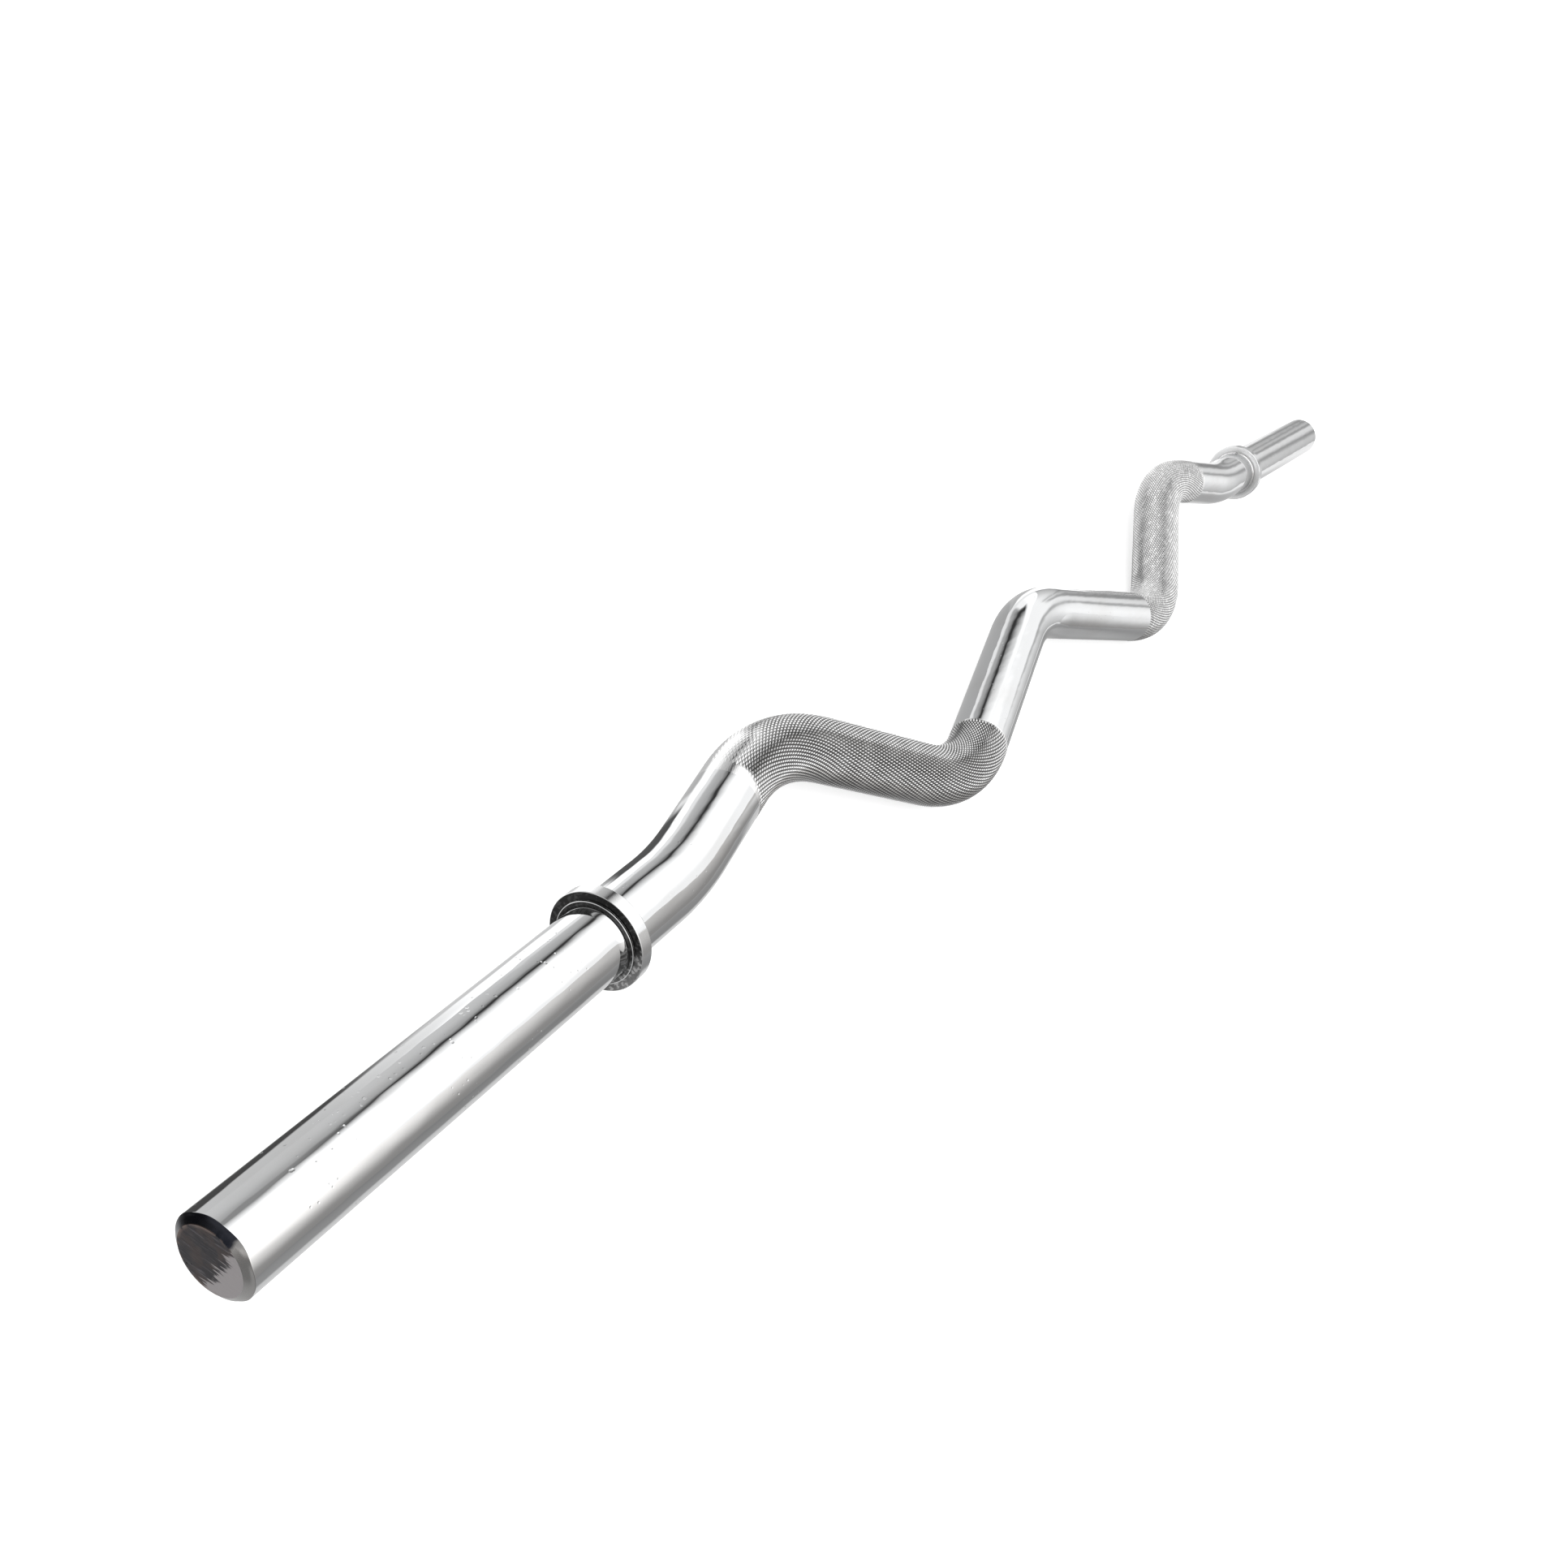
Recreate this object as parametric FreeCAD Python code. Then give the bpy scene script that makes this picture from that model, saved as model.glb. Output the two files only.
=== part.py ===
import FreeCAD, Part
import math
import os

# Curl bar with a W-shaped grip: one bent steel bar, two stop collars and the welds that hold them.
# Lengths are in millimetres. The bar lies along X, as it rests on a flat floor with Z up.
# The origin is the middle of the bar, on the line through the centres of its two sleeve tips.

# Bar stock, and the sleeves turned to size for the plates
bar_diameter = 30.0
sleeve_diameter = 29.6
end_bevel_length = 1.9
end_bevel_depth = 2.8

# Bends, measured along the bar from one bend's corner to the next
centre_run = 149.0
grip_run = 120.0
shoulder_run = 92.5

# Sleeve side, measured along the sleeve from the shoulder's corner to the collar, and from there to the tip
neck_run = 49.5
sleeve_length = 182.0

# Bend corners, measured in the plane of the bends from the line through the sleeve tips
sleeve_drop = 10.4
outer_peak_height = 36.2
valley_depth = 37.0
centre_peak_height = 14.5

# Radii of the bar's own centre line in the bends
shoulder_bend_radius = 139.0
outer_bend_radius = 82.5
valley_bend_radius = 69.0
centre_bend_radius = 76.5

# Knurled bands, measured along the bar past the outer ends of the two bends of each grip
knurl_past_outer_bend = 10.5
knurl_past_valley_bend = 2.0
knurl_rise = 0.18

# Stop collars: a ring with a raised hub on the side where the plates go
collar_wall = 5.2
collar_thickness = 6.1
collar_edge_round = 0.4
hub_wall = 2.5
hub_rise = 0.95
hub_edge_round = 0.3
collar_fit_clearance = 0.03

# Fillet welds on the grip side of the collars
weld_leg = 1.6
weld_hollow = 0.25

bar_radius = bar_diameter / 2
sleeve_radius = sleeve_diameter / 2
crest_radius = bar_radius + knurl_rise
collar_radius = bar_radius + collar_wall
hub_radius = bar_radius + hub_wall
bore_radius = bar_radius + collar_fit_clearance

valley_x = centre_run
outer_peak_x = valley_x + grip_run
shoulder_x = outer_peak_x + shoulder_run

# Stations along the sleeve's own axis, from the shoulder's corner
collar_inner = neck_run
collar_face = collar_inner + collar_thickness
hub_face = collar_face + hub_rise
tip = hub_face + sleeve_length

# Each sleeve slopes gently from its shoulder down to its tip.
sleeve_slope = math.asin(sleeve_drop / tip)
half_length = shoulder_x + tip * math.cos(sleeve_slope)

corners = [
    (-half_length, 0), (-shoulder_x, sleeve_drop),
    (-outer_peak_x, outer_peak_height), (-valley_x, -valley_depth),
    (0, centre_peak_height),
    (valley_x, -valley_depth), (outer_peak_x, outer_peak_height),
    (shoulder_x, sleeve_drop), (half_length, 0),
]
bend_radii = [
    shoulder_bend_radius, outer_bend_radius, valley_bend_radius, centre_bend_radius,
    valley_bend_radius, outer_bend_radius, shoulder_bend_radius,
]


def flat(point):
    """A corner of the bend plane as a vector in the XY plane."""
    return FreeCAD.Vector(point[0], point[1], 0)


def find_bend(before, corner, after, radius):
    """The tangent arc that rounds one corner: its centre, both ends, and its signed turn in radians."""
    way_in = (corner - before).normalize()
    way_out = (after - corner).normalize()
    turn = math.atan2(way_in.cross(way_out).z, way_in.dot(way_out))
    tangent = radius * math.tan(abs(turn) / 2)
    start = corner - way_in * tangent
    end = corner + way_out * tangent
    side = FreeCAD.Vector(-way_in.y, way_in.x, 0) * math.copysign(1, turn)
    return {"start": start, "end": end, "centre": start + side * radius, "turn": turn, "way_in": way_in}


points = [flat(corner) for corner in corners]
bends = [
    find_bend(points[i], points[i + 1], points[i + 2], bend_radii[i]) for i in range(len(bend_radii))
]
bend_names = ["left_shoulder", "left_peak", "left_valley", "centre", "right_valley", "right_peak", "right_shoulder"]
bend = dict(zip(bend_names, bends))

# The bar rests on its collars and on the knurling of both valleys, so the bend plane leans about X.
valley_reach = valley_bend_radius - bend["left_valley"]["centre"].y
collar_height = sleeve_drop - (collar_inner + collar_thickness / 2) * math.sin(sleeve_slope)
rest_lean = math.degrees(math.asin((collar_radius - crest_radius) / (valley_reach + collar_height)))


def straight_run(start, end, radius):
    """A round rod between two points of the bend plane."""
    return Part.makeCylinder(radius, (end - start).Length, start, end - start)


def bent_run(start, centre, way, turn, radius):
    """A round rod along an arc: its end disc is turned about the bend's centre."""
    disc = Part.Face(Part.Wire(Part.makeCircle(radius, start, way)))
    return disc.revolve(centre, FreeCAD.Vector(0, 0, math.copysign(1, turn)), math.degrees(abs(turn)))


def whole_bend(one, radius):
    """The rod along one whole bend."""
    return bent_run(one["start"], one["centre"], one["way_in"], one["turn"], radius)


def turned_ring(profile):
    """A closed profile of edges in the XY plane, turned once about X."""
    face = Part.Face(Part.Wire(profile))
    return face.revolve(FreeCAD.Vector(0, 0, 0), FreeCAD.Vector(1, 0, 0), 360)


def on_sleeve(shape):
    """A shape made about X from the shoulder's corner, set on the right sleeve's axis."""
    copy = shape.copy()
    copy.rotate(FreeCAD.Vector(0, 0, 0), FreeCAD.Vector(0, 0, 1), -math.degrees(sleeve_slope))
    copy.translate(FreeCAD.Vector(shoulder_x, sleeve_drop, 0))
    return copy


def make_sleeve():
    """The right sleeve from its bend to its chamfered tip, turned from its half outline."""
    bend_end = (bend["right_shoulder"]["end"] - flat((shoulder_x, sleeve_drop))).Length
    outline = [
        FreeCAD.Vector(bend_end, 0, 0),
        FreeCAD.Vector(bend_end, bar_radius, 0),
        FreeCAD.Vector(hub_face, bar_radius, 0),
        FreeCAD.Vector(hub_face, sleeve_radius, 0),
        FreeCAD.Vector(tip - end_bevel_length, sleeve_radius, 0),
        FreeCAD.Vector(tip, sleeve_radius - end_bevel_depth, 0),
        FreeCAD.Vector(tip, 0, 0),
    ]
    outline.append(outline[0])
    return on_sleeve(turned_ring(Part.makePolygon(outline).Edges))


def mirrored(shape):
    """The same shape on the left half of the bar."""
    return shape.mirror(FreeCAD.Vector(0, 0, 0), FreeCAD.Vector(1, 0, 0))


def rested(shape):
    """The shape leaned about X, as the bar rests on the floor."""
    copy = shape.copy()
    copy.rotate(FreeCAD.Vector(0, 0, 0), FreeCAD.Vector(1, 0, 0), rest_lean)
    return copy


def knurled_band():
    """The right grip's knurled band, drawn at the height of its crests, across both bends of the grip."""
    valley = bend["right_valley"]
    peak = bend["right_peak"]
    centre_way = (valley["start"] - bend["centre"]["end"]).normalize()
    shoulder_way = (bend["right_shoulder"]["start"] - peak["end"]).normalize()
    band_start = valley["start"] - centre_way * knurl_past_valley_bend
    band_end = peak["end"] + shoulder_way * knurl_past_outer_bend
    runs = [
        straight_run(band_start, valley["start"], crest_radius),
        whole_bend(valley, crest_radius),
        straight_run(valley["end"], peak["start"], crest_radius),
        whole_bend(peak, crest_radius),
        straight_run(peak["end"], band_end, crest_radius),
    ]
    return runs


def make_bar():
    """The whole bar: straight runs and bends from sleeve to sleeve, with the two knurled bands."""
    right = [
        straight_run(bend["centre"]["end"], bend["right_valley"]["start"], bar_radius),
        whole_bend(bend["right_valley"], bar_radius),
        straight_run(bend["right_valley"]["end"], bend["right_peak"]["start"], bar_radius),
        whole_bend(bend["right_peak"], bar_radius),
        straight_run(bend["right_peak"]["end"], bend["right_shoulder"]["start"], bar_radius),
        whole_bend(bend["right_shoulder"], bar_radius),
        make_sleeve(),
    ]
    right += knurled_band()
    left = [mirrored(run) for run in right]
    middle = whole_bend(bend["centre"], bar_radius)
    return middle.multiFuse(right + left).removeSplitter()


def rounded_step(corner, before, after, radius):
    """The two tangent points and the arc's middle point of a square corner rounded to a radius."""
    way_in = (corner - before).normalize()
    way_out = (after - corner).normalize()
    centre = corner - way_in * radius + way_out * radius
    middle = centre + (way_in - way_out).normalize() * radius
    return corner - way_in * radius, middle, corner + way_out * radius


def make_collar():
    """The right collar: a ring with rounded rims and a raised hub on its outer face."""
    outline = [
        (FreeCAD.Vector(collar_inner, bore_radius, 0), 0),
        (FreeCAD.Vector(collar_inner, collar_radius, 0), collar_edge_round),
        (FreeCAD.Vector(collar_face, collar_radius, 0), collar_edge_round),
        (FreeCAD.Vector(collar_face, hub_radius, 0), 0),
        (FreeCAD.Vector(hub_face, hub_radius, 0), hub_edge_round),
        (FreeCAD.Vector(hub_face, bore_radius, 0), 0),
    ]
    edges = []
    pen = outline[0][0]
    count = len(outline)
    for i in range(1, count):
        corner, rounding = outline[i]
        if rounding:
            start, middle, end = rounded_step(corner, outline[i - 1][0], outline[(i + 1) % count][0], rounding)
            edges.append(Part.makeLine(pen, start))
            edges.append(Part.Arc(start, middle, end).toShape())
            pen = end
        else:
            edges.append(Part.makeLine(pen, corner))
            pen = corner
    edges.append(Part.makeLine(pen, outline[0][0]))
    return on_sleeve(turned_ring(edges))


def make_weld():
    """The right collar's weld: a hollow fillet between the bar and the collar's grip side."""
    root = FreeCAD.Vector(collar_inner, bore_radius, 0)
    on_collar = FreeCAD.Vector(collar_inner, bar_radius + weld_leg, 0)
    on_bar = FreeCAD.Vector(collar_inner - weld_leg, bore_radius, 0)
    inward = (root - (on_collar + on_bar) * (1 / 2)).normalize()
    hollow = (on_collar + on_bar) * (1 / 2) + inward * weld_hollow
    edges = [
        Part.makeLine(on_bar, root),
        Part.makeLine(root, on_collar),
        Part.Arc(on_collar, hollow, on_bar).toShape(),
    ]
    return on_sleeve(turned_ring(edges))


right_collar = make_collar()
right_weld = make_weld()
nodes = {
    "bar": make_bar(),
    "right_collar": right_collar,
    "left_collar": mirrored(right_collar),
    "right_collar_weld": right_weld,
    "left_collar_weld": mirrored(right_weld),
}

os.makedirs("parts", exist_ok=True)
for name, shape in nodes.items():
    solid = rested(shape)
    solid.exportStep("parts/" + name + ".step")
    box = solid.BoundBox
    print(name, "solids", len(solid.Solids), "valid", solid.isValid(), "volume", round(solid.Volume, 1))
    print("  box", [round(v, 3) for v in (box.XMin, box.XMax, box.YMin, box.YMax, box.ZMin, box.ZMax)])
print("overall length", round(half_length + half_length, 3), "rest lean", round(rest_lean, 3))
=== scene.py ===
# %% [markdown]
# A bent weight bar in polished chrome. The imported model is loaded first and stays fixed: it says where
# every piece sits. This script only adds looks round it, so each finished piece keeps its place in its
# own mesh and its object stays at the origin.

# %% Load the fixed frame
import math
import bpy
from mathutils import Euler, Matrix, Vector


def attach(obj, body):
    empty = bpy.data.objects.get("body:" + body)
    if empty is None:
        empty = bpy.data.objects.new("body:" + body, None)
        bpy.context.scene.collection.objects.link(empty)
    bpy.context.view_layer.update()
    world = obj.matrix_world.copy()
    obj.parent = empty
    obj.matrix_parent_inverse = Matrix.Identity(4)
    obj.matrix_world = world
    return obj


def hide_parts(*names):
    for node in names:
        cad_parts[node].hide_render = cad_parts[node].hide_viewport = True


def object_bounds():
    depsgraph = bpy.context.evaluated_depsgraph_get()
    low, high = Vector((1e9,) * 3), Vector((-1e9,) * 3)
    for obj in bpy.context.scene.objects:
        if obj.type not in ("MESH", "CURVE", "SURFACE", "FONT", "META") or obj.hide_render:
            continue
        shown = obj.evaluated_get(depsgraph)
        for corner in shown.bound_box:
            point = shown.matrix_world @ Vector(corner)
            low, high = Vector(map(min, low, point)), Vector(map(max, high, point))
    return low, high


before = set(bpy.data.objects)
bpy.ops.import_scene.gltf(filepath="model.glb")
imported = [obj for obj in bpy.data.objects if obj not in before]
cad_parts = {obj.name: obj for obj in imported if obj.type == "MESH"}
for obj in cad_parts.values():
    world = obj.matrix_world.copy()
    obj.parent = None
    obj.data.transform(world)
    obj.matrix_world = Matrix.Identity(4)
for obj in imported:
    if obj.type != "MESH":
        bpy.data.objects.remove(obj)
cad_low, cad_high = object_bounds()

MM = 0.001
print("nodes", sorted(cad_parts))
print("box in mm", [round(v / MM, 1) for v in (*cad_low, *cad_high)])

# %% [markdown]
# The picture is taken close to one end of the bar, looking along it and down at it, with the camera rolled.
# A camera like that can be found by trial, but the bar's own outline fixes it far better: its place, turn
# and lens come from fitting the drawn outline of the bar to the outline in the photograph.

# %% Camera
lens = bpy.data.cameras.new("camera")
lens.sensor_width = 36.0
lens.lens = 36.898
lens.clip_start = 0.02
lens.clip_end = 60.0
camera = bpy.data.objects.new("camera", lens)
camera.location = (-0.81935, 0.00827, 0.42356)
camera.rotation_euler = Euler([math.radians(a) for a in (37.6748, -39.3834, -49.9248)], "XYZ")
bpy.context.scene.collection.objects.link(camera)
bpy.context.scene.camera = camera
print("camera height above the floor, mm", round((camera.location.z - cad_low.z) / MM, 1))

# %% [markdown]
# Shader maths reads best as plain sums. A wire is one output socket: adding, multiplying or comparing wires
# adds the Math nodes, and its node method adds any other node, settings first and sockets after. The same
# class serves the materials, the studio light and the geometry trees.


# %% Wires: node trees written as sums
class Wire:
    """An output socket of a node tree. Sums of wires and numbers add Math nodes to the tree."""

    def __init__(self, tree, socket=None):
        self.tree = tree
        self.socket = socket

    def node(self, kind, settings=(), sockets=(), output=0):
        """Adds a node: first its settings, then the values or links of its sockets."""
        made = self.tree.nodes.new(kind)
        for name, value in dict(settings).items():
            setattr(made, name, value)
        for name, value in dict(sockets).items():
            if isinstance(value, Wire):
                self.tree.links.new(value.socket, made.inputs[name])
            else:
                made.inputs[name].default_value = value
        return Wire(self.tree, made.outputs[output] if len(made.outputs) else None)

    def also(self, output):
        """Another output of the same node."""
        return Wire(self.tree, self.socket.node.outputs[output])

    def math(self, operation, *terms):
        return self.node("ShaderNodeMath", {"operation": operation}, dict(enumerate(terms)))

    def __add__(self, other):
        return self.math("ADD", self, other)

    def __radd__(self, other):
        return self.math("ADD", other, self)

    def __sub__(self, other):
        return self.math("SUBTRACT", self, other)

    def __rsub__(self, other):
        return self.math("SUBTRACT", other, self)

    def __mul__(self, other):
        return self.math("MULTIPLY", self, other)

    def __truediv__(self, other):
        return self.math("DIVIDE", self, other)

    def __mod__(self, other):
        return self.math("MODULO", self, other)

    def __gt__(self, other):
        return self.math("GREATER_THAN", self, other)

    def __lt__(self, other):
        return self.math("LESS_THAN", self, other)

    def __abs__(self):
        return self.math("ABSOLUTE", self)

    def step(self, low, high):
        """A soft step: 0 where the wire is at low, 1 where it is at high."""
        return self.node("ShaderNodeMapRange", {"interpolation_type": "SMOOTHSTEP"},
                         {"Value": self, "From Min": low, "From Max": high, "To Min": 0.0, "To Max": 1.0})

    def blend(self, low, high):
        """A colour that goes from low to high as this wire goes from 0 to 1."""
        return self.node("ShaderNodeMix", {"data_type": "RGBA"}, {0: self, 6: low, 7: high}, 2)

    def ramp(self, stops):
        """A shade looked up along this wire: each stop is a place from 0 to 1 and its shade."""
        made = self.node("ShaderNodeValToRGB", sockets={"Fac": self})
        elements = made.socket.node.color_ramp.elements
        while len(elements) < len(stops):
            elements.new(0.5)
        for stop, (place, shade) in zip(elements, stops):
            stop.position = place
            stop.color = shade if hasattr(shade, "__len__") else grey(shade)
        return made

    def part(self, axis):
        """One of the three parts of a vector: X, Y or Z."""
        return self.node("ShaderNodeSeparateXYZ", sockets={"Vector": self}, output=axis)

    def mark(self, name):
        """A value stored on the points of the mesh."""
        return self.node("ShaderNodeAttribute", {"attribute_name": name}, output="Fac")

    def noise(self, where, scale, detail=2.0):
        """Cloudy noise, read at a place."""
        return self.node("ShaderNodeTexNoise", sockets={"Vector": where, "Scale": scale, "Detail": detail})


def grey(value, warmth=0.0):
    """A grey of that strength, a little warmer for a positive warmth and cooler for a negative one."""
    return (value * (1 + warmth), value, value * (1 - warmth), 1.0)


print("wires ready")

# %% [markdown]
# Chrome has no colour of its own: what it shows is the room. The light here is a plain soft studio: a wide
# white ceiling, plain grey walls, and in front a row of pale panels with thin dark joints between them, which
# draw the fine lines along the bar. It could be built from many lamps and boards, but a sky drawn from its
# direction is softer and has no noise.

# %% Studio light: a soft sky round the bar
sky = bpy.data.worlds.new("studio_sky")
sky.use_nodes = True
sky.node_tree.nodes.clear()
bpy.context.scene.world = sky
start = Wire(sky.node_tree)
way = start.node("ShaderNodeTexCoord", output="Generated")
way_x = way.part("X")
way_y, way_z = way_x.also("Y"), way_x.also("Z")
round_x = start.math("ARCTAN2", way_y, way_x) / math.radians(360) + 0.5
full_white = 2.0
panel_white = 1.4
panels = [(-90, 1.0), (-26, 1.08), (-19, 1.0), (-14, 0.85), (-11, 0.5), (-8.5, 0.42), (-6.5, 0.55),
          (-3.5, 0.85), (2.5, 0.95), (4.5, 0.6), (6, 0.42), (8, 0.5), (9.5, 0.8), (11, 0.75),
          (12.5, 0.52), (14, 0.85), (16, 0.95), (22, 1.03), (28, 1.0), (34, 0.75)]
front = round_x.ramp([(a / 360 + 0.5, value * panel_white / full_white) for a, value in panels])
front = way_z.step(0.41, 0.47).blend(front, grey(panel_white / full_white))
rise = way_z.ramp([(0.0, 0.42), (0.10, 0.54), (0.22, 0.68), (0.36, 0.93), (0.45, 1.0)])
front = rise.blend(grey(0.0), front)
light_wall = (way_z * 4).step(0.0, 1.0).blend(grey(0.40), grey(0.36))
walls = round_x.step(0.5 + 29 / 360, 0.5 + 35 / 360).blend(front, light_wall)
walls = round_x.step(0.12, 0.0).blend(walls, light_wall)
room = way_z.step(0.60, 0.72).blend(walls, grey(1.0))
start.node("ShaderNodeOutputWorld", sockets={
    "Surface": start.node("ShaderNodeBackground", sockets={"Color": room, "Strength": full_white})})
bpy.context.scene.view_settings.view_transform = "Standard"
print("sky nodes", len(sky.node_tree.nodes))

# %% [markdown]
# The floor is a plain pale sheet, far wider than the bar, because the camera sees a long way along it. One
# big soft lamp stands to the side, so the bar gets a faint shadow that ties it to the floor.


# %% Floor and lamp
def new_finish(name):
    """An empty material and the wire that its nodes start from."""
    finish = bpy.data.materials.new(name)
    finish.use_nodes = True
    finish.node_tree.nodes.clear()
    return finish, Wire(finish.node_tree)


def end_finish(start, shader):
    """Joins a finished shader to the material's output."""
    start.node("ShaderNodeOutputMaterial", sockets={"Surface": shader})


def sheet_of(name, spots, finish):
    """A flat sheet with four corners, which belongs to the studio and not to the bar."""
    mesh = bpy.data.meshes.new(name)
    mesh.from_pydata(spots, [], [(0, 1, 2, 3)])
    mesh.materials.append(finish)
    sheet = bpy.data.objects.new(name, mesh)
    bpy.context.scene.collection.objects.link(sheet)
    return sheet


def flat_sheet(name, low, high, z, finish):
    """A level rectangle between two corners, at one height."""
    spots = [(low[0], low[1], z), (high[0], low[1], z), (high[0], high[1], z), (low[0], high[1], z)]
    return sheet_of(name, spots, finish)


def upright_sheet(name, ends, y, heights, finish):
    """A standing rectangle along the bar, facing it."""
    return sheet_of(name, [(ends[1], y, heights[0]), (ends[0], y, heights[0]), (ends[0], y, heights[1]),
                           (ends[1], y, heights[1])], finish)


pale_floor, start = new_finish("pale_floor")
spot = start.node("ShaderNodeTexCoord", output="Object")
cloud = start.noise(spot, 3.0, 3.0)
end_finish(start, start.node("ShaderNodeBsdfPrincipled", sockets={
    "Base Color": cloud.blend(grey(0.58), grey(0.60)), "Roughness": 0.9, "Specular IOR Level": 0.1,
    "Emission Color": grey(1.0), "Emission Strength": 0.62}))
flat_sheet("floor", (-9, -9), (11, 9), cad_low.z, pale_floor)

lamp_data = bpy.data.lights.new("soft_lamp", "AREA")
lamp_data.shape = "DISK"
lamp_data.size = 1.6
lamp_data.energy = 8.0
lamp = bpy.data.objects.new("soft_lamp", lamp_data)
lamp.location = (-0.2, 0.9, 1.7)
lamp.rotation_euler = (Vector((0, 0, 0)) - lamp.location).to_track_quat("-Z", "Y").to_euler()
lamp.visible_glossy = False
bpy.context.scene.collection.objects.link(lamp)
print("floor at", round(cad_low.z / MM, 2), "mm")

# %% [markdown]
# A photographer sets cards beside shiny metal, out of the picture, and shapes its edges with their
# reflection. One card lies on the floor: it is pale grey under the bar, darker on one side and mostly white
# on the other. A second card stands at the grey side. A third stands opposite, and its dark seam draws the
# thin dark line along the whole bar. The camera and the floor don't see the cards, and only the chrome does.


# %% Reflection cards
def only_mirrored(sheet):
    """Keeps a sheet out of everything but reflections."""
    sheet.visible_camera = False
    sheet.visible_diffuse = False
    sheet.visible_shadow = False
    sheet.visible_transmission = False


card_finish, start = new_finish("floor_card")
spot = start.node("ShaderNodeTexCoord", output="Object")
along = spot.part("X")
bar_line = (along / 1.2 + 0.5).ramp([
    (0.0, 0.50), (0.199, 0.60), (0.276, 0.82), (0.376, 0.15), (0.5, 0.63),
    (0.624, 0.15), (0.724, 0.82), (0.801, 0.60), (1.0, 0.50)])
across = along.also("Y") - (bar_line - 0.5) * 0.1
grey_half = (along / 1.4 + 0.45).ramp([
    (0.0, 0.22), (0.10, 0.18), (0.18, 0.155), (0.25, 0.185), (0.35, 0.21), (0.52, 0.26),
    (0.56, 0.20), (0.74, 0.27), (0.84, 0.34), (0.90, 0.47), (0.97, 0.55)])
slant = along - along.also("Y") * 0.6
white_stops = [
    (-0.65, 0.80), (-0.56, 0.80), (-0.53, 0.97), (-0.50, 1.2), (-0.475, 1.6), (-0.40, 1.64), (-0.2, 1.6),
    (-0.15, 1.3), (-0.13, 0.58), (0.0, 0.56), (0.015, 0.70), (0.03, 0.64), (0.06, 0.66), (0.082, 1.6),
    (0.15, 1.65), (0.42, 1.6), (0.47, 1.2), (0.5, 0.95), (0.56, 1.1), (0.62, 1.0), (0.70, 0.6), (0.88, 0.4)]
white_half = (slant / 1.6 + 0.7 / 1.6).ramp([
    ((place + 0.7) / 1.6, value / full_white) for place, value in white_stops])
card_shade = across.step(-0.002, 0.004).blend(grey_half, white_half)
inner_edge = start.node("ShaderNodeMapRange", sockets={
    "Value": along, "From Min": -0.05, "From Max": 0.06, "To Min": -0.046, "To Max": -0.019})
outer_edge = (along + 0.5).ramp([
    (place + 0.5, value) for place, value in (
        (-0.35, 0.039), (-0.25, 0.006), (0.06, 0.006), (0.09, 0.030))])
under_bar = (across - inner_edge).step(-0.008, 0.008) * (across - outer_edge).step(0.005, -0.005)
under_shade = (along + 0.5).ramp([
    (place + 0.5, value) for place, value in (
        (-0.30, 0.39), (0.0, 0.36), (0.05, 0.20), (0.14, 0.18), (0.30, 0.40))])
card_shade = under_bar.blend(card_shade, under_shade)
shadow = slant.step(-0.352, -0.340) * across.step(0.056, 0.042)
shadow = shadow * across.step(0.0, 0.006) * along.step(-0.1, -0.2)
card_shade = shadow.blend(card_shade, grey(0.31))
notch = slant.step(-0.402, -0.386) * slant.step(-0.344, -0.357)
notch = notch * across.step(0.010, 0.018) * across.step(0.062, 0.048)
card_shade = notch.blend(card_shade, grey(0.06))
reach = along * -0.3 - 0.117
dark_spot = across.step(0.016, 0.024) * (across - reach).step(0.006, -0.006) * along.step(-0.46, -0.53)
card_shade = dark_spot.blend(card_shade, grey(0.045))
end_finish(start, start.node("ShaderNodeEmission", sockets={"Color": card_shade, "Strength": full_white}))
only_mirrored(flat_sheet("floor_card", (-8, -8), (10, 8), cad_low.z + 0.0003, card_finish))

wall_finish, start = new_finish("wall_card")
spot = start.node("ShaderNodeTexCoord", output="Object")
along = spot.part("X")
height = along.also("Z")
wall_shade = ((height + 0.02) / 0.4).ramp([
    (place / 0.4, grey(value / full_white, 0.02)) for place, value in (
        (0.0, 0.36), (0.07, 0.38), (0.14, 0.50), (0.22, 0.62), (0.34, 0.76), (0.38, 0.85))])
lighter = 1 + along.step(0.10, -0.45) * height.step(0.0, 0.34) * 1.25
far_band = along.step(0.22, 0.46) * height.step(-0.05, 0.12) * height.step(0.32, 0.22)
wall_shade = far_band.blend(wall_shade, grey(0.62))
wall_shade = start.node("ShaderNodeVectorMath", {"operation": "SCALE"}, {0: wall_shade, "Scale": lighter})
end_finish(start, start.node("ShaderNodeEmission", sockets={"Color": wall_shade, "Strength": full_white}))
only_mirrored(upright_sheet("wall_card", (-4.0, 0.46), -0.30, (cad_low.z, 0.36), wall_finish))

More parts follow.
